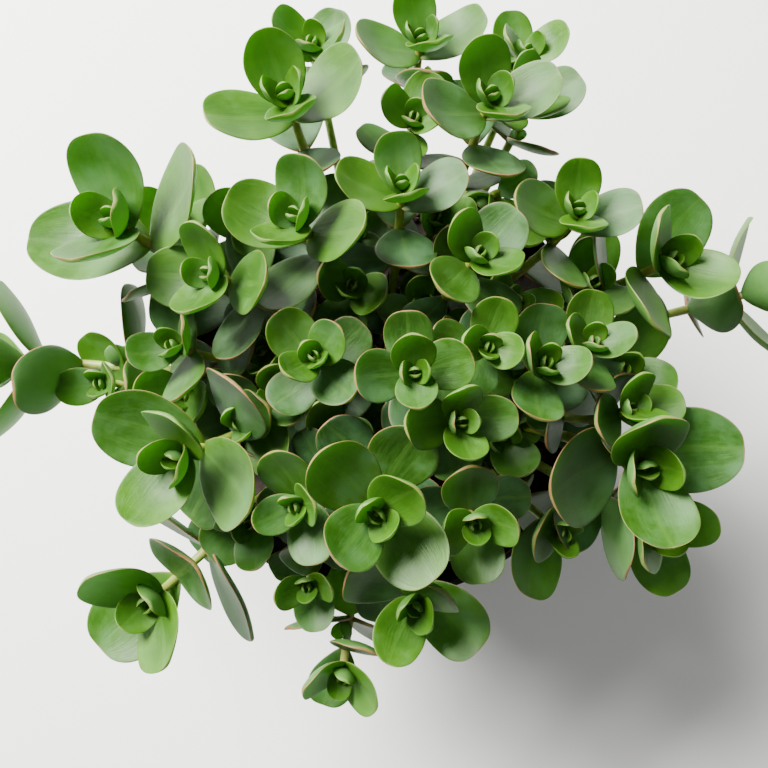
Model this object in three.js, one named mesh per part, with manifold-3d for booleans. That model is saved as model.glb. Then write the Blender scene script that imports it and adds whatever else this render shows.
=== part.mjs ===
// Potted sedum: a round nursery pot filled with potting mix, planted with leafy shoots.
// Millimetres, +Z up, origin at the centre of the pot's underside, -Y is the front.
// Each shoot is one grown piece: a stem that stands in the mix, bends outwards and ends in a rosette.
// Leaves stand in opposite pairs, and each pair is turned a quarter turn from the pair before it.
import * as THREE from "three";
import Module from "manifold-3d";
import { mergeVertices } from "three/addons/utils/BufferGeometryUtils.js";

const wasm = await Module();
wasm.setup();

// Driving dimensions.
const POT = {
  rimRadius: 75,
  height: 115,
  baseRadius: 54,
  wall: 1.8,
  floor: 2.4,
  bandHeight: 14,
  bandDepth: 3,
  sides: 32,
};
const DRAIN = { count: 6, radius: 4.5, ring: 36, sides: 6 };
const GAP = 0.3;
const SOIL = { below: 13, plantDepth: 6, sides: 24 };
const ROOTS = {
  spreads: [0.52, 0.7, 0.35, 0.85],
  turns: [0, 5, -5, 10, -10, 16, -16, 24, -24, 34, -34],
  farthest: 56,
};
const STEM = { radius: 1.5, sides: 4, steps: 4, rise: 0.42, run: 0.34, overRim: 48 };
const LEAF = { thickness: 1.5, widthShare: 0.8, undersideShare: 0.86, foot: 0.2 };

// Corners of half a leaf's outline between its foot and its tip: the distance from the foot
// as a share of the length, and the distance from the midrib as a share of half the width.
const SHOULDERS = [
  { along: 0.45, across: 0.88 },
  { along: 0.84, across: 0.84 },
];

// Leaf pairs from a shoot's heart outwards: length as a share of its longest leaf,
// angle from the stem in degrees, and distance below the tip as a share of that leaf.
const PAIRS = [
  { length: 0.8, angle: 40, below: 0.1 },
  { length: 1.0, angle: 58, below: 0.32 },
  { length: 0.98, angle: 72, below: 0.72 },
  { length: 0.88, angle: 82, below: 1.3 },
  { length: 0.76, angle: 88, below: 2.1 },
];

// Where a leaf would touch another shoot it is shortened, tipped and swung, in this order.
const TRIES = {
  lengths: [1, 0.85, 0.7, 0.55],
  tips: [0, -8, 8, -16, 16, -26],
  swings: [0, 9, -9, 18, -18],
};

// Every shoot: its tip, the compass direction of its longest leaf pair, the length
// of that pair, its number of pairs, and its lean where it doesn't simply lean out
// from the middle of the pot in proportion to its distance.
const LEAN_PER_MM = 0.15;
const SHOOTS = {
  crown: [
    { tip: [8, 3, 188], spin: 5, leaf: 19 },
    { tip: [20, -10, 184], spin: 4, leaf: 19, lean: 14, toward: -5 },
    { tip: [-2, -34, 188], spin: -48, leaf: 27 },
    { tip: [-20, 7, 170], spin: 132, leaf: 20, lean: 14, toward: 90 },
    { tip: [29, 10, 176], spin: 75, leaf: 17 },
    { tip: [45, 5, 172], spin: 76, leaf: 21, lean: 22, toward: 60 },
    { tip: [25, -38, 176], spin: 98, leaf: 21, lean: 14, toward: -70 },
    { tip: [-24, -34, 174], spin: 112, leaf: 20, lean: 20, toward: 200 },
  ],
  shoulder: [
    { tip: [-24, 46, 172], spin: 158, leaf: 27, lean: 26, toward: 130 },
    { tip: [5, 56, 168], spin: 10, leaf: 23, lean: 28, toward: 88 },
    { tip: [26, 36, 172], spin: 48, leaf: 22, lean: 22, toward: 50 },
    { tip: [57, 51, 160], spin: 3, leaf: 23, lean: 18, toward: 85 },
    { tip: [61, 11, 164], spin: 82, leaf: 20, lean: 26, toward: 75 },
    { tip: [-50, 32, 162], spin: 175, leaf: 26, lean: 24, toward: 170 },
    { tip: [-59, -21, 165], spin: 157, leaf: 34, lean: 22, toward: 205 },
    { tip: [76, -24, 160], spin: 8, leaf: 38, lean: 12, toward: -60 },
    { tip: [73, -8, 162], spin: 12, leaf: 20, lean: 22, toward: 20 },
    { tip: [9, -65, 160], spin: -35, leaf: 28, lean: 16, toward: -95 },
    { tip: [87, 37, 150], spin: 54, leaf: 31, lean: 22, toward: 25 },
  ],
  rim: [
    { tip: [-81, 49, 150], spin: 178, leaf: 40, lean: 24, toward: 140, pairs: 4 },
    { tip: [-70, 55, 124], spin: 75, leaf: 25, lean: 4 },
    { tip: [-64, 11, 150], spin: 115, leaf: 22, lean: 28, toward: 155 },
    { tip: [-94, 0, 125], spin: 100, leaf: 22 },
    { tip: [-72, -67, 145], spin: 222, leaf: 35, lean: 18, toward: 220, pairs: 4 },
    { tip: [-29, 85, 160], spin: 200, leaf: 29, pairs: 4 },
    { tip: [9, 81, 150], spin: 70, leaf: 20 },
    { tip: [31, 84, 162], spin: 200, leaf: 26, pairs: 4 },
    { tip: [47, 91, 140], spin: 30, leaf: 22 },
    { tip: [-13, -92, 138], spin: 70, leaf: 24, lean: 30, toward: -95 },
    { tip: [-24, -62, 148], spin: 100, leaf: 18 },
    { tip: [-24, 112, 128], spin: 70, leaf: 24 },
    { tip: [12, 114, 134], spin: 20, leaf: 26 },
    { tip: [48, 110, 126], spin: 100, leaf: 23 },
  ],
  trailing: [
    { tip: [-127, 8, 118], spin: 88, leaf: 33, lean: 76, toward: 178, pairs: 4 },
    { tip: [125, 31, 122], spin: 100, leaf: 30, lean: 58, toward: 15 },
  ],
  low: [
    { tip: [-10, 30, 150], spin: 60, leaf: 23 },
    { tip: [88, -46, 138], spin: -65, leaf: 28 },
    { tip: [-44, -12, 148], spin: 120, leaf: 25 },
    { tip: [-30, -3, 150], spin: 20, leaf: 19 },
    { tip: [-9, 50, 132], spin: 30, leaf: 17 },
    { tip: [12, 25, 140], spin: 10, leaf: 17 },
    { tip: [66, 32, 140], spin: 40, leaf: 25 },
    { tip: [-14, -14, 150], spin: 60, leaf: 25 },
    { tip: [74, 4, 145], spin: 60, leaf: 27 },
    { tip: [56, -47, 142], spin: 60, leaf: 27 },
    { tip: [36, -16, 146], spin: 30, leaf: 25 },
    { tip: [42, 26, 140], spin: 70, leaf: 23 },
    { tip: [-38, 10, 142], spin: 40, leaf: 23 },
    { tip: [4, -18, 142], spin: 100, leaf: 23 },
    { tip: [-42, -44, 138], spin: 20, leaf: 25 },
    { tip: [38, 66, 138], spin: 120, leaf: 23 },
    { tip: [16, 52, 144], spin: 70, leaf: 24 },
    { tip: [-46, 52, 138], spin: 30, leaf: 25 },
    { tip: [-66, -4, 136], spin: 70, leaf: 24 },
    { tip: [48, -8, 146], spin: 10, leaf: 24 },
    { tip: [-4, -58, 138], spin: 40, leaf: 24 },
    { tip: [24, 14, 148], spin: 110, leaf: 22 },
  ],
};

// Leaf pairs on a shoot that isn't given its own number.
const PAIR_COUNT = { crown: 5, shoulder: 4, rim: 3, trailing: 3, low: 3 };

const soilTop = POT.height - SOIL.below;
const colours = { pot: 0x1c1c1e, soil: 0x2b211a, shoot: 0x5c8a3c };
const radians = THREE.MathUtils.degToRad;

// ---------- solids ----------

// A geometry as a manifold-3d solid, with its shared vertices merged.
function solidOf(geometry) {
  const bare = geometry.index ? geometry.toNonIndexed() : geometry.clone();
  const plain = new THREE.BufferGeometry();
  plain.setAttribute("position", bare.getAttribute("position"));
  const merged = mergeVertices(plain, 1e-3);
  return new wasm.Manifold(
    new wasm.Mesh({
      numProp: 3,
      vertProperties: merged.attributes.position.array,
      triVerts: new Uint32Array(merged.index.array),
    }),
  );
}

// A solid as a named mesh that stands at the point given.
function meshOf(name, solid, colour, roughness, at = new THREE.Vector3()) {
  const mesh = solid.translate([-at.x, -at.y, -at.z]).getMesh();
  const geometry = new THREE.BufferGeometry();
  geometry.setAttribute(
    "position",
    new THREE.BufferAttribute(mesh.vertProperties, 3),
  );
  geometry.setIndex(new THREE.BufferAttribute(mesh.triVerts, 1));
  geometry.computeVertexNormals();
  const material = new THREE.MeshStandardMaterial({
    color: colour,
    roughness,
    metalness: 0,
  });
  const made = new THREE.Mesh(geometry, material);
  made.name = name;
  made.position.copy(at);
  return made;
}

// Whether two solids meet, by their boxes first.
function meet(a, b) {
  const apart = [0, 1, 2].some((i) => a.box.min[i] > b.box.max[i] || b.box.min[i] > a.box.max[i]);
  return !apart && !a.solid.intersect(b.solid).isEmpty();
}

const boxed = (solid) => ({ solid, box: solid.boundingBox() });

// ---------- pot and potting mix ----------

// A lathe about +Z from (radius, height) points.
function turned(points, sides) {
  const profile = points.map(([radius, height]) => new THREE.Vector2(radius, height));
  return new THREE.LatheGeometry(profile, sides).rotateX(Math.PI / 2);
}

// Radius of the pot's outer wall at a height.
function potRadius(height) {
  const share = height / POT.height;
  const top = POT.rimRadius - POT.bandDepth;
  return POT.baseRadius + (top - POT.baseRadius) * share;
}

// A thin cup with a drip band under its rim, and drain holes round its floor.
function potSolid() {
  const bandFoot = POT.height - POT.bandHeight;
  const cup = turned(
    [
      [0, 0],
      [POT.baseRadius, 0],
      [potRadius(bandFoot), bandFoot],
      [POT.rimRadius, bandFoot + 1],
      [POT.rimRadius, POT.height],
      [potRadius(POT.height) - POT.wall, POT.height],
      [potRadius(POT.floor) - POT.wall, POT.floor],
      [0, POT.floor],
    ],
    POT.sides,
  );
  let solid = solidOf(cup);
  for (let i = 0; i < DRAIN.count; i++) {
    const drill = new THREE.CylinderGeometry(
      DRAIN.radius,
      DRAIN.radius,
      4 * POT.floor,
      DRAIN.sides,
    );
    const angle = (2 * Math.PI * i) / DRAIN.count;
    drill.rotateX(Math.PI / 2);
    drill.translate(
      DRAIN.ring * Math.cos(angle),
      DRAIN.ring * Math.sin(angle),
      0,
    );
    solid = solid.subtract(solidOf(drill));
  }
  return solid;
}

// The mix fills the cup, with a hole where each stem stands.
function soilSolid(stemRooms) {
  const floor = POT.floor + GAP;
  const inside = (height) => potRadius(height) - POT.wall - 2 * GAP;
  const body = turned(
    [
      [0, floor],
      [inside(floor), floor],
      [inside(soilTop), soilTop],
      [0, soilTop],
    ],
    SOIL.sides,
  );
  let solid = solidOf(body);
  for (const room of stemRooms) solid = solid.subtract(room.translate([0, 0, -GAP]));
  return solid;
}

// ---------- shoots ----------

const UP = new THREE.Vector3(0, 0, 1);

// The unit vector that leans from upright by an angle, towards a compass direction.
function leaning(lean, toward) {
  const out = Math.sin(radians(lean));
  return new THREE.Vector3(
    out * Math.cos(radians(toward)),
    out * Math.sin(radians(toward)),
    Math.cos(radians(lean)),
  );
}

// A stem's line: it stands upright in the mix and turns over to the lean of its tip.
function stemLine({ tip, lean, toward }, spread, turn) {
  const end = new THREE.Vector3(...tip);
  const away = Math.hypot(end.x, end.y);
  const bearing = Math.atan2(end.y, end.x) + radians(turn);
  const distance = Math.min(spread * away, ROOTS.farthest);
  const root = new THREE.Vector3(
    distance * Math.cos(bearing),
    distance * Math.sin(bearing),
    soilTop - SOIL.plantDepth,
  );
  const length = root.distanceTo(end);
  const overRim = away > POT.baseRadius ? STEM.overRim : 0;
  return new THREE.CubicBezierCurve3(
    root,
    root.clone().addScaledVector(UP, Math.max(STEM.rise * length, overRim)),
    end.clone().addScaledVector(leaning(lean, toward), -STEM.run * length),
    end,
  );
}

// A point of the stem's middle, which runs straight from each step of its line to the next.
function stemPoint(line, at) {
  const step = Math.min(Math.floor(at * STEM.steps), STEM.steps - 1);
  const start = line.getPointAt(step / STEM.steps);
  const end = line.getPointAt((step + 1) / STEM.steps);
  return start.lerp(end, at * STEM.steps - step);
}

// A stem as a slim straight-sided tube along its line.
function stemSolid(line, radius) {
  const section = new THREE.Shape();
  section.absarc(0, 0, radius, 0, 2 * Math.PI);
  const settings = {
    steps: STEM.steps,
    curveSegments: STEM.sides / 2,
    extrudePath: line,
    bevelEnabled: false,
  };
  return solidOf(new THREE.ExtrudeGeometry(section, settings));
}

// A leaf lies along +X from its foot at the origin, with its upper face towards +Z. Its outline
// comes to a point at the foot and is widest past the middle, and the underside is the same
// outline drawn in towards the foot. A margin above zero grows it by that much all round.
function leafGeometry(length, margin) {
  const half = (LEAF.widthShare * length) / 2;
  const edge = [
    [LEAF.foot, 0],
    ...SHOULDERS.map(({ along, across }) => [along * length, across * half + margin]),
    [length + margin, 0],
  ];
  const back = edge.slice(1, -1).reverse().map(([along, across]) => [along, -across]);
  const shape = new THREE.Shape([...edge, ...back].map((corner) => new THREE.Vector2(...corner)));
  const depth = LEAF.thickness + 2 * margin;
  const geometry = new THREE.ExtrudeGeometry(shape, { depth, bevelEnabled: false });
  geometry.translate(0, 0, -margin - LEAF.thickness / 2);
  const place = geometry.getAttribute("position");
  for (let i = 0; i < place.count; i++) {
    if (place.getZ(i) > 0) continue;
    place.setX(i, Math.max(place.getX(i) * LEAF.undersideShare, LEAF.foot));
    place.setY(i, place.getY(i) * LEAF.undersideShare);
  }
  return geometry;
}

// One leaf of a shoot: it leaves the stem at an angle, in a direction round it.
function leafSolid(growth, pair, opposite, change, margin) {
  const { line, reach, spin, leaf } = growth;
  const { length, angle, below } = PAIRS[pair];
  const at = Math.max(1 - (below * leaf) / reach, 0.05);
  const stem = line.getTangentAt(1).lerp(line.getTangentAt(at), Math.min(below, 1)).normalize();
  const out = leaning(90, spin);
  out.addScaledVector(stem, -out.dot(stem)).normalize();
  out.applyAxisAngle(stem, radians(90 * (pair - 1) + (opposite ? 180 : 0) + change.swing));
  const tilt = radians(angle + change.tip);
  const along = stem.clone().multiplyScalar(Math.cos(tilt)).addScaledVector(out, Math.sin(tilt));
  const face = stem.clone().multiplyScalar(Math.sin(tilt)).addScaledVector(out, -Math.cos(tilt));
  const across = face.clone().cross(along);
  const placing = new THREE.Matrix4().makeBasis(along, across, face);
  placing.setPosition(stemPoint(line, at));
  const geometry = leafGeometry(leaf * length * change.length, margin);
  return solidOf(geometry.applyMatrix4(placing));
}

// A stem's root moves in, out and round the pot until the stem is clear of the rim and
// of the stems before it.
function rootStem(plan, standing) {
  for (const spread of ROOTS.spreads) {
    for (const turn of ROOTS.turns) {
      const line = stemLine(plan, spread, turn);
      const room = boxed(stemSolid(line, STEM.radius + 2 * GAP));
      if (meet(room, pot) || standing.some((other) => meet(room, other.room))) continue;
      return { line, room };
    }
  }
  throw new Error(`no room for a stem at ${plan.tip}`);
}

// The first way to grow a leaf that keeps it clear of every other shoot.
function clearLeaf(growth, pair, opposite, others) {
  for (const length of TRIES.lengths) {
    for (const tip of TRIES.tips) {
      for (const swing of TRIES.swings) {
        const change = { length, tip, swing };
        const room = boxed(leafSolid(growth, pair, opposite, change, GAP));
        if (others.some((other) => meet(room, other))) continue;
        return leafSolid(growth, pair, opposite, change, 0);
      }
    }
  }
  return null;
}

const pot = boxed(potSolid());
const mix = boxed(soilSolid([]));
const growths = [];
for (const [place, plans] of Object.entries(SHOOTS)) {
  plans.forEach((plan, i) => {
    const [x, y] = plan.tip;
    const full = {
      lean: LEAN_PER_MM * Math.hypot(x, y),
      toward: THREE.MathUtils.radToDeg(Math.atan2(y, x)),
      pairs: PAIR_COUNT[place],
      late: place === "low",
      ...plan,
      name: `shoot_${place}_${i + 1}`,
    };
    const stem = rootStem(full, growths);
    growths.push({ ...full, ...stem, reach: stem.line.getLength(), leaves: [] });
  });
}

// Grows one leaf pair on each of the shoots that has it. A leaf with no room is left out.
function growPair(shoots, pair) {
  for (const growth of shoots.filter(({ pairs }) => pair < pairs)) {
    const others = growths
      .filter((other) => other !== growth)
      .flatMap((other) => [other.room, ...other.leaves])
      .concat(pot, mix);
    for (const opposite of [false, true]) {
      const leaf = clearLeaf(growth, pair, opposite, others);
      if (leaf) growth.leaves.push(boxed(leaf));
    }
  }
}

// The low shoots fill in under the others, so they grow last.
for (const late of [false, true]) {
  const shoots = growths.filter((growth) => growth.late === late);
  for (let pair = 0; pair < PAIRS.length; pair++) growPair(shoots, pair);
}

const group = new THREE.Group();
group.add(meshOf("pot", pot.solid, colours.pot, 0.5));
group.add(meshOf("soil", soilSolid(growths.map(({ room }) => room.solid)), colours.soil, 0.95));
for (const { name, line, leaves } of growths) {
  let solid = stemSolid(line, STEM.radius);
  for (const leaf of leaves) solid = solid.add(leaf.solid);
  group.add(meshOf(name, solid, colours.shoot, 0.45, line.getPointAt(0)));
}

export default group;
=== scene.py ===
"""A potted sedum: round-leaved shoots in a black nursery pot of dark potting mix."""

from math import cos, pi, radians, sin

import bpy
import numpy as np
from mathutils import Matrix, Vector


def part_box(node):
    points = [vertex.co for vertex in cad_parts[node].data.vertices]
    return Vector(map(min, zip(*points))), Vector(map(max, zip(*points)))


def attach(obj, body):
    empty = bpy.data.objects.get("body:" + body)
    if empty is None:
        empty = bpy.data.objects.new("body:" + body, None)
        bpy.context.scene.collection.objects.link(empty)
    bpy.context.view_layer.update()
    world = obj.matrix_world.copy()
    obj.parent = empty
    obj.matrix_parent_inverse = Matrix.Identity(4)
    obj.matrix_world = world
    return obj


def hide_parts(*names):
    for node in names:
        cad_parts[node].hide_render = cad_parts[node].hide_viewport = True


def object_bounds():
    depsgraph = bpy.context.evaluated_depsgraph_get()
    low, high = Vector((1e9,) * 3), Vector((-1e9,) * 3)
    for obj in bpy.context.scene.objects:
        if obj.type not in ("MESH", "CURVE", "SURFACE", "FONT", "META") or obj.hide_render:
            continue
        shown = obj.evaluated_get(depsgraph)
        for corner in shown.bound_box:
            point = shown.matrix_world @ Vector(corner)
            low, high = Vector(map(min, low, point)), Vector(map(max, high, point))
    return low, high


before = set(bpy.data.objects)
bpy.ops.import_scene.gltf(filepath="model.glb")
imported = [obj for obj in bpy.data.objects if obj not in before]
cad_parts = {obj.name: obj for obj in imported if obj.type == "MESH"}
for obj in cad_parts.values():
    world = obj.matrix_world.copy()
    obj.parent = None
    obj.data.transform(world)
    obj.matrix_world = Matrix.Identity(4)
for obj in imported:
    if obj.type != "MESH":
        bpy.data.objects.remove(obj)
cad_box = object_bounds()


# ---------- Camera ----------
# The plant is looked at from straight above, from 0.2 m over its tallest leaves, with the
# back of the pot at the top of the view.
MM = 0.001
EYE_HEIGHT = 415 * MM
VIEW_ACROSS = radians(48.2)
SENSOR_WIDTH = 36.0
NEAREST = 10 * MM

scene = bpy.context.scene
camera_data = bpy.data.cameras.new("camera")
camera_data.sensor_width = SENSOR_WIDTH
camera_data.angle = VIEW_ACROSS
camera_data.clip_start = NEAREST
camera = bpy.data.objects.new("camera", camera_data)
camera.location = (0.0, 0.0, EYE_HEIGHT)
scene.collection.objects.link(camera)
scene.camera = camera


# ---------- Light ----------
# A big soft window stands behind the plant and to its left, and a white room fills in.
LIT_PLACE = (0.0, 0.0, 0.15)
WINDOW_PLACE = (-0.75, 0.8, 0.95)
WINDOW_SIZE = 0.7
WINDOW_POWER = 150.0
WINDOW_TINT = (1.0, 0.985, 0.95)
CEILING_PLACE = (0.3, -0.1, 1.6)
CEILING_SIZE = 1.2
CEILING_POWER = 3.0
CEILING_TINT = (1.0, 1.0, 1.0)
ROOM_TINT = (1.0, 1.0, 0.97, 1.0)
ROOM_STRENGTH = 0.2


def soft_light(name, place, size, power, tint):
    """A square area light at place that faces the plant."""
    data = bpy.data.lights.new(name, "AREA")
    data.shape = "SQUARE"
    data.size = size
    data.energy = power
    data.color = tint
    lamp = bpy.data.objects.new(name, data)
    lamp.location = place
    lamp.rotation_euler = (Vector(LIT_PLACE) - Vector(place)).to_track_quat("-Z", "Y").to_euler()
    scene.collection.objects.link(lamp)


soft_light("window", WINDOW_PLACE, WINDOW_SIZE, WINDOW_POWER, WINDOW_TINT)
soft_light("ceiling", CEILING_PLACE, CEILING_SIZE, CEILING_POWER, CEILING_TINT)
world = bpy.data.worlds.new("room")
world.use_nodes = True
background = world.node_tree.nodes["Background"]
background.inputs["Color"].default_value = ROOM_TINT
background.inputs["Strength"].default_value = ROOM_STRENGTH
scene.world = world


# ---------- Floor ----------
# A plain pale table top under the pot. Its material is the first to need shader nodes, so
# the class that writes shader maths stands here.
FLOOR_HALF = 1.6


class Wire:
    """A shader socket. Arithmetic on wires adds Math nodes, and node() adds any other node."""

    def __init__(self, tree, socket):
        self.tree = tree
        self.socket = socket

    @staticmethod
    def node(tree, kind, settings=None, values=None, output=0):
        """Adds a node of a type, makes its settings, fills its sockets and returns one output."""
        made = tree.nodes.new(kind)
        for name, setting in (settings or {}).items():
            setattr(made, name, setting)
        for key, value in (values or {}).items():
            if isinstance(value, Wire):
                tree.links.new(value.socket, made.inputs[key])
            else:
                made.inputs[key].default_value = value
        return Wire(tree, made.outputs[output])

    def math(self, operation, *values):
        """A Math node of an operation on values, which are wires or numbers."""
        return Wire.node(self.tree, "ShaderNodeMath", {"operation": operation}, dict(enumerate(values)))

    def __add__(self, other):
        return self.math("ADD", self, other)

    def __sub__(self, other):
        return self.math("SUBTRACT", self, other)

    def __rsub__(self, other):
        return self.math("SUBTRACT", other, self)

    def __mul__(self, other):
        return self.math("MULTIPLY", self, other)

    __radd__ = __add__
    __rmul__ = __mul__

    def ramp(self, low, high):
        """Rises smoothly from 0 at low to 1 at high."""
        values = {"Value": self, "From Min": low, "From Max": high}
        return Wire.node(self.tree, "ShaderNodeMapRange", {"interpolation_type": "SMOOTHSTEP"}, values)

    def blend(self, first, second):
        """The colour first where this wire is 0, and second where it is 1."""
        values = {"Factor": self, 6: first, 7: second}
        return Wire.node(self.tree, "ShaderNodeMix", {"data_type": "RGBA"}, values, output=2)

    def attribute(self, name):
        """A value that the mesh holds at each point."""
        return Wire.node(self.tree, "ShaderNodeAttribute", {"attribute_name": name}, output=2)

    def noise(self, scale, detail=2.0, roughness=0.5, stretch=None):
        """Noise over this vector, from 0 to 1, drawn out along an axis where stretch is under 1."""
        place = self
        if stretch:
            place = Wire.node(self.tree, "ShaderNodeMapping", values={"Vector": self, "Scale": stretch})
        values = {"Vector": place, "Scale": scale, "Detail": detail, "Roughness": roughness}
        return Wire.node(self.tree, "ShaderNodeTexNoise", values=values)


def colour(red, green, blue):
    """An opaque colour."""
    return (red, green, blue, 1.0)


def start_material(name):
    """A bare material, its Principled shader and a wire of the piece's own coordinates."""
    material = bpy.data.materials.new(name)
    material.use_nodes = True
    tree = material.node_tree
    shader = tree.nodes["Principled BSDF"]
    place = Wire.node(tree, "ShaderNodeTexCoord", output=3)
    return material, shader, place


def feed(shader, **wires):
    """Links wires to the shader's sockets, whose names have _ for a space."""
    for name, wire in wires.items():
        wire.tree.links.new(wire.socket, shader.inputs[name.replace("_", " ")])


def add_piece(name, points, faces, materials, smooth=True):
    """A mesh object from points in metres and faces as lists of point numbers."""
    mesh = bpy.data.meshes.new(name)
    mesh.from_pydata(points.reshape(-1, 3).tolist(), [], [list(face) for face in faces])
    mesh.validate()
    mesh.polygons.foreach_set("use_smooth", np.full(len(mesh.polygons), smooth))
    for material in materials:
        mesh.materials.append(material)
    piece = bpy.data.objects.new(name, mesh)
    scene.collection.objects.link(piece)
    return piece


floor_material, floor_shader, floor_place = start_material("table_top")
floor_tone = floor_place.noise(3.0, 4.0).ramp(0.2, 0.8)
feed(floor_shader, Base_Color=floor_tone.blend(colour(0.84, 0.84, 0.83), colour(0.88, 0.88, 0.87)))
floor_shader.inputs["Roughness"].default_value = 0.7
floor_corners = np.array([(-1, -1), (1, -1), (1, 1), (-1, 1)]) * FLOOR_HALF
floor_points = np.column_stack([floor_corners, np.zeros(4)])
floor = add_piece("floor", floor_points, [(0, 1, 2, 3)], [floor_material], smooth=False)


# ---------- Pot ----------
# A thin black nursery pot, moulded from polypropylene in one piece: a tapered cup with a
# band under its rounded rim and drain holes through its floor.
pot_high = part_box("pot")[1]
RIM_RADIUS = pot_high.x
POT_HEIGHT = pot_high.z
FOOT_RADIUS = 0.72 * RIM_RADIUS
WALL = 1.6 * MM
POT_FLOOR = 2.4 * MM
BAND = 14 * MM
BAND_STEP = 3 * MM
FOOT_LINE = 9 * MM
AXIS_GAP = 1 * MM
POT_SIDES = 120
DRAIN_HOLES = 6
DRAIN_RADIUS = 4.5 * MM
DRAIN_RING = 36 * MM
DRILL_SIDES = 24
DRILL_CORE = 0.01 * MM
DRILL_FOOT = -3 * MM
DRILL_TOP = 6 * MM


def wall_radius(height):
    """Radius of the cup's outer wall at a height: a straight taper from foot to band."""
    return FOOT_RADIUS + (RIM_RADIUS - BAND_STEP - FOOT_RADIUS) * height / POT_HEIGHT


def rounded(profile, radii, steps=4):
    """A profile with each corner replaced by a curve: a quadratic through the points that
    lie a radius before and after it."""
    points = []
    for i, corner in enumerate(profile):
        radius = radii[i]
        if not radius:
            points.append(corner)
            continue
        before, after = profile[i - 1] - corner, profile[i + 1] - corner
        start = corner + before / np.linalg.norm(before) * radius
        end = corner + after / np.linalg.norm(after) * radius
        for t in np.linspace(0, 1, steps + 1):
            points.append((1 - t) ** 2 * start + 2 * t * (1 - t) * corner + t**2 * end)
    return np.array(points)


def lathe(profile, sides):
    """Points of a profile of (radius, height) carried round the Z axis."""
    turn = np.linspace(0, 2 * pi, sides, endpoint=False)
    radius, height = profile[:, :1], profile[:, 1:]
    rings = [radius * np.cos(turn), radius * np.sin(turn), height + 0 * turn]
    return np.stack(rings, -1)


def grid_faces(rows, columns, closed):
    """Quads of a grid of rows by columns of points, joined round each row when closed."""
    row, column = np.meshgrid(
        np.arange(rows - 1), np.arange(columns if closed else columns - 1), indexing="ij"
    )
    after = (column + 1) % columns
    corners = [row * columns + column, row * columns + after]
    corners += [(row + 1) * columns + after, (row + 1) * columns + column]
    return np.stack(corners, -1).reshape(-1, 4)


def closed_rings(rings, first_height, last_height):
    """Points and faces of a tube of rings, each end closed by a fan to a point on the axis."""
    rows, sides = rings.shape[:2]
    points = rings.reshape(-1, 3)
    first, last = len(points), len(points) + 1
    ring = np.arange(sides)
    after = (ring + 1) % sides
    start = (rows - 1) * sides
    faces = [tuple(face) for face in grid_faces(rows, sides, True)]
    faces += [(first, b, a) for a, b in zip(ring, after)]
    faces += [(last, start + a, start + b) for a, b in zip(ring, after)]
    return np.vstack([points, (0, 0, first_height), (0, 0, last_height)]), faces


def closed_lathe(profile, sides):
    """Points and faces of a lathe whose profile starts and ends near the axis."""
    return closed_rings(lathe(profile, sides), profile[0][1], profile[-1][1])


def turned(first, second, angle):
    """Two coordinates, or two axes, turned by an angle from the first towards the second."""
    return first * np.cos(angle) - second * np.sin(angle), first * np.sin(angle) + second * np.cos(angle)


def pot_profile():
    """The cup's section: out under the floor, up the wall past a raised line, round the band
    and the lip, down inside, and back to the axis over the floor. Each corner is given by its
    radius, its height and how far from it its rounding starts."""
    band_foot = POT_HEIGHT - BAND
    lip = wall_radius(POT_HEIGHT) - WALL
    corners = np.array(
        [
            (AXIS_GAP, 0, 0),
            (FOOT_RADIUS, 0, 3 * MM),
            (wall_radius(FOOT_LINE), FOOT_LINE, 0.3 * MM),
            (wall_radius(FOOT_LINE + 0.8 * MM) + 0.5 * MM, FOOT_LINE + 1.2 * MM, 0.3 * MM),
            (wall_radius(band_foot), band_foot, 0.5 * MM),
            (RIM_RADIUS - 0.6 * MM, band_foot + 0.8 * MM, 1 * MM),
            (RIM_RADIUS, POT_HEIGHT, 0.9 * MM),
            (RIM_RADIUS - 2 * MM, POT_HEIGHT, 0.9 * MM),
            (lip + 1 * MM, POT_HEIGHT - 1.6 * MM, 2 * MM),
            (wall_radius(band_foot) - WALL, band_foot - 2 * MM, 4 * MM),
            (wall_radius(POT_FLOOR) - WALL, POT_FLOOR, 2.5 * MM),
            (AXIS_GAP, POT_FLOOR, 0),
        ]
    )
    return rounded(corners[:, :2], corners[:, 2])


def bump(height, strength, distance):
    """A normal wire that raises the surface by a height wire."""
    values = {"Height": height, "Strength": strength, "Distance": distance}
    return Wire.node(height.tree, "ShaderNodeBump", values=values)


def pot_material():
    """Black plastic: fine moulding grain, faint scuffs down the wall, and patches of dust."""
    material, shader, place = start_material("black_nursery_plastic")
    scuffs = place.noise(220.0, 5.0, 0.6, stretch=(1.0, 1.0, 0.08)).ramp(0.52, 0.75)
    dust = place.noise(28.0, 6.0, 0.65).ramp(0.45, 0.8)
    grain = place.noise(1500.0, 2.0)
    worn = dust.blend(colour(0.002, 0.002, 0.0023), colour(0.009, 0.008, 0.007))
    feed(
        shader,
        Base_Color=(scuffs * 0.25).blend(worn, colour(0.02, 0.02, 0.021)),
        Roughness=0.34 + dust * 0.2 + scuffs * 0.12,
        Normal=bump(grain * 0.6 + scuffs * 0.4, 0.25, 0.1 * MM),
    )
    shader.inputs["Specular IOR Level"].default_value = 0.16
    return material


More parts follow.
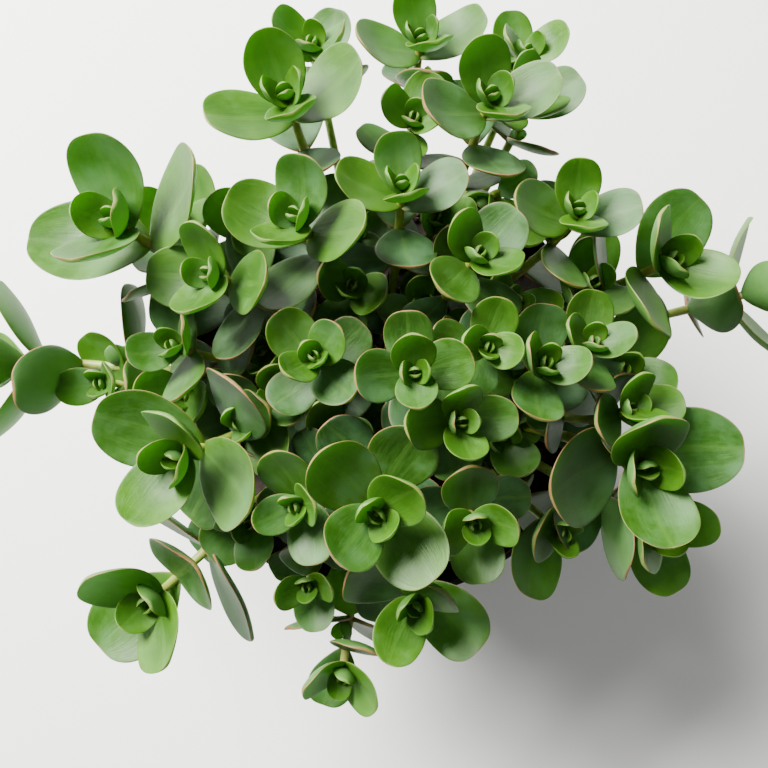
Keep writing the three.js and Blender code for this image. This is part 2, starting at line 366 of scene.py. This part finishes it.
def cut_drains(piece):
    """Cuts the drain holes through the floor with drills, then removes the drills. Each drill
    is turned by half a side, so that none of its corners lands on an edge of the floor."""
    radii = (DRILL_CORE, DRAIN_RADIUS, DRAIN_RADIUS, DRILL_CORE)
    heights = (DRILL_FOOT, DRILL_FOOT, DRILL_TOP, DRILL_TOP)
    shape, faces = closed_lathe(np.column_stack([radii, heights]), DRILL_SIDES)
    x, y = turned(shape[:, 0], shape[:, 1], pi / DRILL_SIDES)
    shape = np.column_stack([x, y, shape[:, 2]])
    turn = 2 * pi * np.arange(DRAIN_HOLES) / DRAIN_HOLES
    centres = np.column_stack([np.cos(turn), np.sin(turn), 0 * turn]) * DRAIN_RING
    points = shape[None] + centres[:, None]
    all_faces = [tuple(np.array(face) + i * len(shape)) for i in range(DRAIN_HOLES) for face in faces]
    drills = add_piece("drills", points, all_faces, [])
    cut = piece.modifiers.new("drains", "BOOLEAN")
    cut.operation = "DIFFERENCE"
    cut.solver = "EXACT"
    cut.object = drills
    bpy.context.view_layer.objects.active = piece
    bpy.ops.object.modifier_apply(modifier=cut.name)
    bpy.data.objects.remove(drills)


pot_points, pot_faces = closed_lathe(pot_profile(), POT_SIDES)
pot = add_piece("nursery_pot", pot_points, pot_faces, [pot_material()])
cut_drains(pot)
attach(pot, "root")
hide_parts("pot")


# ---------- Potting mix ----------
# Dark peaty mix, pressed in and watered, so that it fills the cup with a crumbly top.
# Bark chips and a few pale grains lie on it.
SOIL_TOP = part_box("soil")[1].z
SOIL_RADIUS = wall_radius(SOIL_TOP) - WALL - 0.1 * MM
SOIL_FOOT = wall_radius(POT_FLOOR) - WALL - 2.6 * MM
SOIL_BOTTOM = POT_FLOOR + 0.2 * MM
SOIL_SIDES = 160
SOIL_RINGS = 55
SOIL_LIFT = 1.5 * MM
WALL_SINK = 3.5 * MM
CRUMB_SEED = 3
CRUMB_WAVES = 70
CRUMB_STEEPNESS = 0.012
CHIP_SEED = 11
CHIPS = 420
CHIP_LIFT = 0.5 * MM
CHIP_FLATNESS = 0.6


def mix_height(x, y):
    """Height of the mix's crumbly top: a sum of plane waves in random directions, whose height
    falls as their wavelength does, and which sinks by a sixth power towards the wall."""
    draw = np.random.default_rng(CRUMB_SEED)
    length = draw.uniform(1.6, 26, CRUMB_WAVES) * MM
    heading = draw.uniform(0, 2 * pi, CRUMB_WAVES)
    phase = draw.uniform(0, 2 * pi, CRUMB_WAVES)
    travel = x[..., None] * np.cos(heading) + y[..., None] * np.sin(heading)
    crumbs = (np.sin(2 * pi * travel / length + phase) * length).sum(-1) * CRUMB_STEEPNESS
    return SOIL_TOP + SOIL_LIFT + crumbs - WALL_SINK * (np.hypot(x, y) / SOIL_RADIUS) ** 6


def soil_surface():
    """Points and faces of the mix: its bottom and side, then a polar grid on top whose rings
    lie closer together towards the wall."""
    turn = np.linspace(0, 2 * pi, SOIL_SIDES, endpoint=False)
    radius = np.linspace(0, 1, SOIL_RINGS + 1)[1:, None] ** 0.8 * SOIL_RADIUS
    x, y = radius * np.cos(turn), radius * np.sin(turn)
    top = mix_height(x, y)
    side_top = (SOIL_RADIUS - 0.4 * MM, SOIL_TOP - 8 * MM)
    side = np.array([(SOIL_FOOT * 0.02, SOIL_BOTTOM), (SOIL_FOOT, SOIL_BOTTOM), side_top])
    rings = np.concatenate([lathe(side, SOIL_SIDES), np.stack([x, y, top], -1)[::-1]])
    return closed_rings(rings, SOIL_BOTTOM, top[0].mean())


def soil_material():
    """Damp peat: brown-black crumbs with paler fibres."""
    material, shader, place = start_material("peaty_mix")
    lumps = place.noise(260.0, 6.0, 0.7)
    fibres = place.noise(700.0, 3.0, 0.6, stretch=(1.0, 0.25, 1.0)).ramp(0.62, 0.78)
    earth = lumps.ramp(0.3, 0.75).blend(colour(0.008, 0.006, 0.005), colour(0.05, 0.032, 0.022))
    feed(
        shader,
        Base_Color=(fibres * 0.5).blend(earth, colour(0.13, 0.085, 0.05)),
        Roughness=0.7 + lumps * 0.3,
        Normal=bump(lumps + fibres * 0.3, 0.8, 0.8 * MM),
    )
    return material


def chip_material():
    """Bark chips and grains: brown to grey, each chip its own shade, rough all over."""
    material, shader, place = start_material("bark_chips")
    shade = place.attribute("chance")
    grain = place.noise(900.0, 4.0, 0.7, stretch=(1.0, 0.3, 1.0))
    brown = (shade * 0.7 + grain * 0.3).blend(colour(0.02, 0.013, 0.009), colour(0.12, 0.07, 0.04))
    pale = shade.ramp(0.93, 0.94).blend(brown, colour(0.42, 0.4, 0.35))
    feed(shader, Base_Color=pale, Normal=bump(grain, 0.6, 0.3 * MM))
    shader.inputs["Roughness"].default_value = 0.85
    return material


def chips():
    """Points, faces and shades of the chips: flattened octahedra of random size and turn,
    their corners moved a little, that lie half sunk in the crumbs."""
    corners = np.array([(1, 0, 0), (0, 1, 0), (-1, 0, 0), (0, -1, 0), (0, 0, 1), (0, 0, -1)], float)
    sides = [(0, 1, 4), (1, 2, 4), (2, 3, 4), (3, 0, 4), (1, 0, 5), (2, 1, 5), (3, 2, 5), (0, 3, 5)]
    draw = np.random.default_rng(CHIP_SEED)
    reach = (SOIL_RADIUS - 3 * MM) * np.sqrt(draw.uniform(0, 1, CHIPS))
    turn = draw.uniform(0, 2 * pi, CHIPS)
    x, y = reach * np.cos(turn), reach * np.sin(turn)
    place = np.stack([x, y, mix_height(x, y) + CHIP_LIFT], -1)
    size = draw.uniform(0.7, 3.4, (CHIPS, 1)) * MM * draw.uniform(0.35, 1, (CHIPS, 3))
    shape = corners[None] * draw.uniform(0.75, 1.2, (CHIPS, 6, 3)) * size[:, None, :]
    spin = draw.uniform(0, 2 * pi, (CHIPS, 1))
    tilt = draw.uniform(-0.5, 0.5, (CHIPS, 1))
    rolled_y, rolled_z = turned(shape[..., 1], shape[..., 2] * CHIP_FLATNESS, tilt)
    spun_x, spun_y = turned(shape[..., 0], rolled_y, spin)
    points = np.stack([spun_x, spun_y, rolled_z], -1) + place[:, None]
    faces = (np.array(sides)[None] + 6 * np.arange(CHIPS)[:, None, None]).reshape(-1, 3)
    return points, faces, np.repeat(draw.uniform(0, 1, CHIPS), 6)


def keep_values(piece, **values):
    """Stores values at each point of a piece's mesh, for its material to read."""
    for name, array in values.items():
        layer = piece.data.attributes.new(name, "FLOAT", "POINT")
        layer.data.foreach_set("value", np.asarray(array, np.float32).ravel())


soil_points, soil_faces = soil_surface()
mix = add_piece("potting_mix", soil_points, soil_faces, [soil_material()])
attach(mix, "root")
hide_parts("soil")
chip_points, chip_faces, chip_shades = chips()
bark = add_piece("bark_chips", chip_points, chip_faces, [chip_material()], smooth=False)
keep_values(bark, chance=chip_shades)
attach(bark, "root")


# ---------- Shoots ----------
# Each shoot of a round-leaved stonecrop is one grown piece: a smooth yellow-green stem whose
# fleshy leaves stand in opposite pairs, each pair a quarter turn from the one below, up to a
# closed bud. A waxy bloom dulls the leaves, and their thin margins flush red with age.

# The frame holds a shoot as a plain solid. Its leaves are flat plates and its stem is square.
PLATE_THICKNESS = 1.5 * MM
PLATE_SHOULDER = 0.45
PLATE_WIDTH = 0.8
PLATE_HALF = 0.44
PLATE_ROUNDNESS = 2.15
LEAST_PLATE = 12 * MM**2
STEM_SIDE = 1.5 * MM * 2**0.5
LEAST_SIDE = 1 * MM**2
SLIVER = 1e-6 * MM**2
SAME_WAY = 0.9995
SAME_PLANE = 0.03 * MM
FLAT_OPPOSITE = -0.999

# The stem's line, and its round skin.
STEM_RISE = 0.42
STEM_RUN = 0.34
OVER_RIM = 48 * MM
STEM_STATIONS = 18
STEM_SIDES = 7
STEM_THICKNESS = 1.25 * MM
STEM_SEAM = (0.31, 0.95, 0.05)
JOINT_SWELL = 0.22
JOINT_SHARPNESS = 22

# The grown leaf: where its rings lie from foot to tip, and round each ring how far out and
# on which face its points lie.
LEAF_RINGS = np.array([0.0, 0.1, 0.26, 0.45, 0.64, 0.82, 0.93, 0.985])
LEAF_SPAN = np.array([1.0, 0.74, 0.0, -0.74, -1.0, -0.74, 0.0, 0.74])
LEAF_SIDE = np.array([0.0, 1.0, 1.0, 1.0, 0.0, -1.0, -1.0, -1.0])
LEAF_WIDTH = 0.79
LEAF_FOOT_WIDTH = 0.055
LEAF_SWELL = 0.52
SWELL_WITH_AGE = 0.3
LEAF_TAPER = (0.42, 0.52)
FOOT_THICKNESS = 1.05
THINNER_AT_TIP = 0.35
YOUNG_CUP = 0.50
CUP_LOST_WITH_AGE = 0.40
YOUNG_SAG = 0.20
SAG_LOST_WITH_AGE = 0.16
FULL_THICKNESS_LENGTH = 22 * MM
MARGIN_REACH = 0.4
YOUNGEST_PLATE = 0.25
FULL_AGE_DEPTH = 1.2

# The small leaves: a share of the shoot's longest leaf, how far they lean out in degrees,
# and how far below the tip they start. Then the pairs in the axils of the older leaves.
BUD_PAIRS = ((0.48, 25, 0.06), (0.25, 13, 0.02), (0.1, 5, 0.0))
BUD_AGE = 0.16
BUD_AGE_STEP = 0.05
AXIL_AGE = 0.6
AXIL_SHARE = 0.3
AXIL_LENGTH = (0.2, 0.34)
AXIL_LEAN = radians(30)
AXIL_BUD_AGE = 0.12
SMOOTHING = 2


def flat_sides(node):
    """The flat faces of a CAD node as (normal, area, centre, points), largest first. Triangles
    belong together when they lie in one plane and share that plane's points."""
    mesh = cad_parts[node].data
    mesh.calc_loop_triangles()
    place = np.empty(len(mesh.vertices) * 3)
    mesh.vertices.foreach_get("co", place)
    index = np.empty(len(mesh.loop_triangles) * 3, int)
    mesh.loop_triangles.foreach_get("vertices", index)
    corners = place.reshape(-1, 3)[index].reshape(-1, 3, 3)
    cross = np.cross(corners[:, 1] - corners[:, 0], corners[:, 2] - corners[:, 0])
    twice = np.linalg.norm(cross, axis=1)
    whole = twice > SLIVER
    corners, cross, twice = corners[whole], cross[whole], twice[whole]
    normal = cross / twice[:, None]
    centre = corners.mean(1)
    free = np.ones(len(normal), bool)
    sides = []
    for seed in np.argsort(-twice):
        if not free[seed] or twice[seed] < LEAST_SIDE:
            continue
        apart = np.abs((corners - centre[seed]) @ normal[seed]).max(1)
        mine = free & (normal @ normal[seed] > SAME_WAY) & (apart < SAME_PLANE)
        free &= ~mine
        area = twice[mine].sum() / 2
        middle = (centre[mine] * twice[mine, None]).sum(0) / (2 * area)
        sides.append((normal[seed], area, middle, corners[mine].reshape(-1, 3)))
    return sides


def plate_leaf(top, under):
    """A leaf's foot, unit heading, unit face normal and length from its two flat sides. The
    heading runs from the middle of the shoulders to the tip where both are whole, and from
    the under side's middle to the upper side's where the plate is cut."""
    face, _, middle, points = top
    heading = middle - under[2]
    heading -= face * (heading @ face)
    heading /= np.linalg.norm(heading)
    side = np.cross(face, heading)
    tip = points[np.argmax(points @ heading)]
    shoulders = points[np.argmax(points @ side)], points[np.argmin(points @ side)]
    half = abs((shoulders[0] - shoulders[1]) @ side) / 2
    axis = tip - (shoulders[0] + shoulders[1]) / 2
    length = np.linalg.norm(axis) / (1 - PLATE_SHOULDER)
    whole = abs(half / (PLATE_HALF * PLATE_WIDTH * length) - 1) < 0.12
    if whole and axis @ heading / np.linalg.norm(axis) > 0.96:
        heading = axis / np.linalg.norm(axis)
    else:
        length = (PLATE_ROUNDNESS * top[1] / PLATE_WIDTH) ** 0.5
    foot = tip - heading * length - face * PLATE_THICKNESS / 2
    return {"foot": foot, "heading": heading, "face": face, "length": length}


def read_leaves(sides):
    """The leaves among a shoot's flat sides: pairs of opposite faces a leaf's thickness apart."""
    leaves = []
    used = set()
    for i, top in enumerate(sides):
        if i in used or top[1] < LEAST_PLATE:
            continue
        for j in range(i + 1, len(sides)):
            under = sides[j]
            if j in used or top[0] @ under[0] > FLAT_OPPOSITE:
                continue
            step = under[2] - top[2]
            depth = step @ top[0]
            drift = np.linalg.norm(step - depth * top[0])
            if abs(depth + PLATE_THICKNESS) < 0.12 * MM and drift < 5 * MM:
                used.update((i, j))
                leaves.append(plate_leaf(top, under))
                break
    return leaves


def stem_ends(sides, leaves):
    """The middles of the stem's two square ends, and the way that the upper end faces. Where
    leaves cover the upper end, it lies between the feet of the highest pair."""
    root = min((side for side in sides if side[0][2] < -0.99), key=lambda side: side[2][2])
    ends = [side for side in sides if 0.08 < side[1] / STEM_SIDE**2 < 1.05]
    ends = [s for s in ends if np.linalg.norm(s[3] - s[2], axis=1).max() < 0.9 * STEM_SIDE]
    ends = [s for s in ends if s[0] @ (s[2] - root[2]) > 0.2 * np.linalg.norm(s[2] - root[2])]
    if not ends:
        top = sorted(leaves, key=lambda leaf: leaf["foot"][2])[-2:]
        facing = top[0]["face"] + top[1]["face"]
        return root[2], (top[0]["foot"] + top[1]["foot"]) / 2, facing / np.linalg.norm(facing)
    tip = max(ends, key=lambda side: np.linalg.norm(side[2] - root[2]))
    return root[2], tip[2], tip[0]


def stem_curve(root, tip, heading):
    """A stem's line as a cubic curve: up from the root, high enough to clear the pot's rim
    where the tip hangs outside it, and into the tip along its heading."""
    reach = np.linalg.norm(tip - root)
    outside = np.hypot(tip[0], tip[1]) > FOOT_RADIUS
    rise = max(STEM_RISE * reach, OVER_RIM if outside else 0.0)
    return np.array([root, root + (0, 0, rise), tip - heading * STEM_RUN * reach, tip])


def on_curve(curve, t):
    """Points of a cubic curve at parameters t."""
    t = np.asarray(t)[..., None]
    weights = (1 - t) ** 3, 3 * (1 - t) ** 2 * t, 3 * (1 - t) * t**2, t**3
    return sum(weight * point for weight, point in zip(weights, curve))


def leaf_material():
    """Fleshy leaf: yellow-green when young and deep green when old, darker towards its middle
    and foot with a deeper green and painted shade, blue-green where the bloom lies, paler
    beneath, with faint streaks, a few specks and a pale margin, partly painted glow, that
    flushes red.
    It reads the leaf's values: along, across, edge, under, age and chance."""
    material, shader, place = start_material("sedum_leaf")
    tree = shader.id_data
    along, across, edge = place.attribute("along"), place.attribute("across"), place.attribute("edge")
    under, age, chance = place.attribute("under"), place.attribute("age"), place.attribute("chance")
    patches = place.noise(95.0, 5.0, 0.62)
    fine = place.noise(900.0, 3.0, 0.6)
    on_leaf = {"X": along, "Y": across, "Z": chance * 40.0}
    blade = Wire.node(tree, "ShaderNodeCombineXYZ", values=on_leaf)
    streak = blade.noise(1.0, 4.0, 0.6, stretch=(4.5, 20.0, 1.0))
    swell = place.noise(130.0, 2.0, 0.5)
    specks = place.noise(420.0, 2.0, 0.5).ramp(0.7, 0.78) * age

    young = patches.ramp(0.3, 0.7).blend(colour(0.030, 0.108, 0.0005), colour(0.070, 0.182, 0.002))
    mature = patches.ramp(0.3, 0.7).blend(colour(0.006, 0.030, 0.0005), colour(0.017, 0.060, 0.0015))
    green = (age + chance * 0.3 - 0.25).ramp(0.0, 0.75).blend(young, mature)
    # Painted shade, partly a deeper real green: darker towards the leaf's middle and foot, away from its
    # margin and tip, where the leaves of a rosette shade each other's feet.
    green = ((1.0 - edge.ramp(0.15, 0.95)) * 0.42).blend(green, colour(0.008, 0.044, 0.0006))
    bloom = (age * 0.35 + chance * 0.4 + patches * 2.0).ramp(1.15, 2.0) * (0.55 + edge * 0.45)
    green = (bloom * 0.66).blend(green, colour(0.07, 0.175, 0.085))
    green = (streak.ramp(0.42, 0.72) * 0.3).blend(green, colour(0.06, 0.18, 0.02))
    vein = (across * across * 90.0).ramp(0.0, 1.0)
    green = ((1.0 - vein) * 0.18).blend(green, colour(0.10, 0.22, 0.03))
    green = ((1.0 - along.ramp(0.0, 0.12)) * 0.25).blend(green, colour(0.12, 0.25, 0.01))
    green = (fine.ramp(0.62, 0.8) * 0.15).blend(green, colour(0.18, 0.32, 0.09))
    green = (under * 0.5).blend(green, colour(0.11, 0.25, 0.07))
    green = (specks * 0.5).blend(green, colour(0.10, 0.06, 0.015))

    # Painted glow, partly real: the pale line along the margin stands both for a paler margin and for
    # light shining through the thin rim.
    pale_rim_and_glow = (edge + fine * 0.02).ramp(0.94, 1.01)
    flush = (edge + fine * 0.02 + patches * 0.03).ramp(0.965, 1.01)
    green = (pale_rim_and_glow * 0.4).blend(green, colour(0.36, 0.46, 0.10))
    red = (age * 1.1 + patches * 0.7 + chance * 0.5).ramp(0.65, 1.35)
    skin = (flush * red * 0.85).blend(green, colour(0.33, 0.075, 0.05))
    feed(
        shader,
        Base_Color=skin,
        Roughness=0.44 + bloom * 0.16 + streak * 0.08,
        Normal=bump(fine * 0.1 + streak * 0.35 + swell * 0.7, 0.4, 0.8 * MM),
    )
    shader.inputs["Specular IOR Level"].default_value = 0.43
    lit_through = {"Color": colour(0.22, 0.55, 0.005)}
    glow = Wire.node(tree, "ShaderNodeBsdfTranslucent", values=lit_through)
    layers = {0: 0.38 - age * 0.24, 1: Wire(tree, shader.outputs[0]), 2: glow}
    leaf = Wire.node(tree, "ShaderNodeMixShader", values=layers)
    tree.links.new(leaf.socket, tree.nodes["Material Output"].inputs["Surface"])
    return material


def stem_material():
    """Yellow-green skin with faint lengthwise streaks, browner at the old foot and the joints."""
    material, shader, place = start_material("sedum_stem")
    along, joint = place.attribute("along"), place.attribute("joint")
    streak = place.noise(420.0, 3.0, 0.6, stretch=(1.0, 1.0, 0.15))
    skin = streak.ramp(0.3, 0.75).blend(colour(0.13, 0.23, 0.015), colour(0.24, 0.34, 0.04))
    old = (0.55 - along + streak * 0.3).ramp(0.0, 0.8)
    skin = (old * 0.4).blend(skin, colour(0.11, 0.075, 0.02))
    skin = (joint * (0.15 + streak * 0.4)).blend(skin, colour(0.18, 0.07, 0.03))
    feed(shader, Base_Color=skin, Roughness=0.42 + streak * 0.2, Normal=bump(streak, 0.2, 0.2 * MM))
    shader.inputs["Subsurface Weight"].default_value = 0.15
    shader.inputs["Subsurface Radius"].default_value = (1.0, 1.0, 0.3)
    shader.inputs["Subsurface Scale"].default_value = 1.5 * MM
    return material


def leaf_grid(leaf, draw):
    """Points of one leaf, ring by ring from foot to tip, and its values at each point.

    The half width grows with the distance from the foot and falls as a root of the distance
    to the tip. The blade is cupped by a parabola across, and its middle line sags below the
    line from foot to tip by half a sine wave, or rises above it where the leaf bends back."""
    along, span = LEAF_RINGS[:, None], LEAF_SPAN[None, :]
    length, age = leaf["length"], leaf["age"]
    width = 0.5 * length * (LEAF_WIDTH + draw.normal(0, 0.03))
    swell = LEAF_SWELL + SWELL_WITH_AGE * age + draw.uniform(-0.06, 0.1)
    taper = draw.uniform(*LEAF_TAPER)
    peak = swell / (swell + taper)
    most = peak**swell * (1 - peak) ** taper
    half = along**swell * (1 - along) ** taper / most * width * 1.06
    half = half * (1 + draw.normal(0, 0.014, (len(LEAF_RINGS), 1)))
    half = np.maximum(half, LEAF_FOOT_WIDTH * length * (1 - along) ** 0.5 + 0.1 * MM)
    fullness = 0.5 + 0.5 * min(length / FULL_THICKNESS_LENGTH, 1.0)
    thick = (FOOT_THICKNESS - THINNER_AT_TIP * along) * fullness * MM
    thick = thick * np.where(np.abs(span) > 0.9, 0.0, 1.0 - 0.25 * np.abs(span))
    cup = (YOUNG_CUP - CUP_LOST_WITH_AGE * age + draw.normal(0, 0.05)) * half * span**2
    sag = (YOUNG_SAG - SAG_LOST_WITH_AGE * age + draw.normal(0, 0.02)) * length
    middle = -sag * np.sin(pi * along) * np.sin(0.5 * pi * along)
    wave = draw.normal(0, 0.018) * length * np.sin(2 * pi * along + draw.uniform(0, 6)) * span
    curl = -max(draw.normal(0.02, 0.03), 0) * length * age * along**4
    out = along * length + 0 * span
    side = half * span
    up = thick * LEAF_SIDE + cup + middle + wave * along + curl
    across_axis = np.cross(leaf["face"], leaf["heading"])
    face, across_axis = turned(leaf["face"], across_axis, draw.normal(0, 0.06))
    points = leaf["foot"] + out[..., None] * leaf["heading"]
    points = points + side[..., None] * across_axis + up[..., None] * face
    margin = (1 - np.abs(span)) * half / width
    edge = 1 - np.minimum(margin, (1 - along) / MARGIN_REACH)
    ones = np.ones_like(out)
    values = {
        "along": along * ones,
        "across": span * ones,
        "edge": edge * ones,
        "under": (LEAF_SIDE < 0) * ones,
        "age": age * ones,
        "chance": draw.uniform() * ones,
        "joint": 0 * ones,
    }
    return points, values


def roomy_leaf(leaf, draw):
    """A leaf's grid, made shorter until it keeps inside the plant's outermost measures."""
    low, high = np.array(cad_box[0]), np.array(cad_box[1])
    points, values = leaf_grid(leaf, draw)
    while (points < low).any() or (points > high).any():
        leaf["length"] *= 0.95
        points, values = leaf_grid(leaf, draw)
    return points, values


def tube(curve, root_radius, tip_radius, joints):
    """Points of a round stem on a curve, swollen where pairs of leaves sit, and its values."""
    t = np.linspace(0, 1, STEM_STATIONS)
    line = on_curve(curve, t)
    ahead = np.gradient(line, axis=0)
    ahead /= np.linalg.norm(ahead, axis=1)[:, None]
    side = np.cross(ahead, STEM_SEAM)
    side /= np.linalg.norm(side, axis=1)[:, None]
    other = np.cross(ahead, side)
    near = sum(np.exp(-(((t - joint) * JOINT_SHARPNESS) ** 2)) for joint in joints)
    near = np.minimum(near, 1)
    radius = root_radius + (tip_radius - root_radius) * t
    radius = radius * (1 + JOINT_SWELL * near)
    turn = np.linspace(0, 2 * pi, STEM_SIDES, endpoint=False)[None, :, None]
    ring = np.cos(turn) * side[:, None] + np.sin(turn) * other[:, None]
    points = line[:, None] + ring * radius[:, None, None]
    ones = np.ones(points.shape[:2])
    values = {name: 0 * ones for name in ("across", "edge", "under", "age", "chance")}
    values.update(along=t[:, None] * ones, joint=near[:, None] * ones)
    return points, values


def ring_mesh(parts):
    """Points, faces, values and material numbers of several ringed grids. Each grid's two
    open ends are closed by one face."""
    points, faces, slots, values, start = [], [], [], {}, 0
    for grid, held, slot in parts:
        rows, columns = grid.shape[:2]
        body = grid_faces(rows, columns, True) + start
        caps = [np.arange(columns)[::-1] + start, np.arange(columns) + start + (rows - 1) * columns]
        faces += [tuple(face) for face in body] + [tuple(cap) for cap in caps]
        slots += [slot] * (len(body) + 2)
        points.append(grid.reshape(-1, 3))
        for name, array in held.items():
            values.setdefault(name, []).append(array.ravel())
        start += rows * columns
    joined = {name: np.concatenate(arrays) for name, arrays in values.items()}
    return np.concatenate(points), faces, joined, slots


def leaf_pair(foot, way, out, lean, length, age):
    """Two opposite leaves from one foot, that lean away from a way to both sides of it."""
    pair = []
    for side in (out, -out):
        heading = cos(lean) * way + sin(lean) * side
        face = sin(lean) * way - cos(lean) * side
        pair.append({"foot": foot, "heading": heading, "face": face, "length": length, "age": age})
    return pair


def bud_leaves(tip, heading, top_leaf, size):
    """The closing pairs at a shoot's tip, each turned a quarter from the pair below it."""
    out = top_leaf["heading"] - heading * (top_leaf["heading"] @ heading)
    out /= np.linalg.norm(out)
    leaves = []
    for i, (share, lean, below) in enumerate(BUD_PAIRS):
        out = np.cross(heading, out)
        foot = tip - heading * below * size
        age = BUD_AGE - BUD_AGE_STEP * i
        leaves += leaf_pair(foot, heading, out, radians(lean), share * size, age)
    return leaves


def axil_buds(leaves, size, draw):
    """Small pairs of young leaves that break from the axils of some of the older leaves,
    between the leaf and the stem."""
    small = []
    for leaf in leaves:
        if leaf["age"] < AXIL_AGE or draw.uniform() > AXIL_SHARE:
            continue
        way = leaf["heading"] * 0.8 + leaf["face"] * 0.9
        way /= np.linalg.norm(way)
        out = np.cross(leaf["heading"], leaf["face"])
        length = draw.uniform(*AXIL_LENGTH) * size
        small += leaf_pair(leaf["foot"] + way * 0.05 * size, way, out, AXIL_LEAN, length, AXIL_BUD_AGE)
    return small


def build_shoot(node, materials, draw):
    """One shoot's piece, from the lines read from its CAD node."""
    sides = flat_sides(node)
    leaves = read_leaves(sides)
    root, tip, heading = stem_ends(sides, leaves)
    curve = stem_curve(root, tip, heading)
    t = np.linspace(0.1, 1, 400)
    line = on_curve(curve, t)
    size = max(leaf["length"] for leaf in leaves)
    joints = []
    for leaf in leaves:
        nearest = np.argmin(np.linalg.norm(line - leaf["foot"], axis=1))
        leaf["foot"] = line[nearest]
        joints.append(t[nearest])
        depth = np.linalg.norm(leaf["foot"] - tip) / size
        leaf["age"] = YOUNGEST_PLATE + (1 - YOUNGEST_PLATE) * min(depth / FULL_AGE_DEPTH, 1.0)
    top_leaf = max(leaves, key=lambda leaf: np.linalg.norm(leaf["foot"] - root))
    leaves += axil_buds(leaves, size, draw)
    leaves += bud_leaves(tip, heading, top_leaf, size)
    thick = STEM_THICKNESS + 0.02 * size
    parts = [(*roomy_leaf(leaf, draw), 0) for leaf in leaves]
    parts.append((*tube(curve, thick * 1.15, thick * 0.7, joints), 1))
    points, faces, values, slots = ring_mesh(parts)
    piece = add_piece("plant_" + node, points, faces, materials)
    piece.data.polygons.foreach_set("material_index", slots)
    keep_values(piece, **values)
    smooth = piece.modifiers.new("smooth", "SUBSURF")
    smooth.levels = smooth.render_levels = SMOOTHING
    return piece


tissue = [leaf_material(), stem_material()]
for number, node in enumerate(sorted(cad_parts)):
    if node.startswith("shoot"):
        shoot = build_shoot(node, tissue, np.random.default_rng(100 + number))
        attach(shoot, "root")
        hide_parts(node)
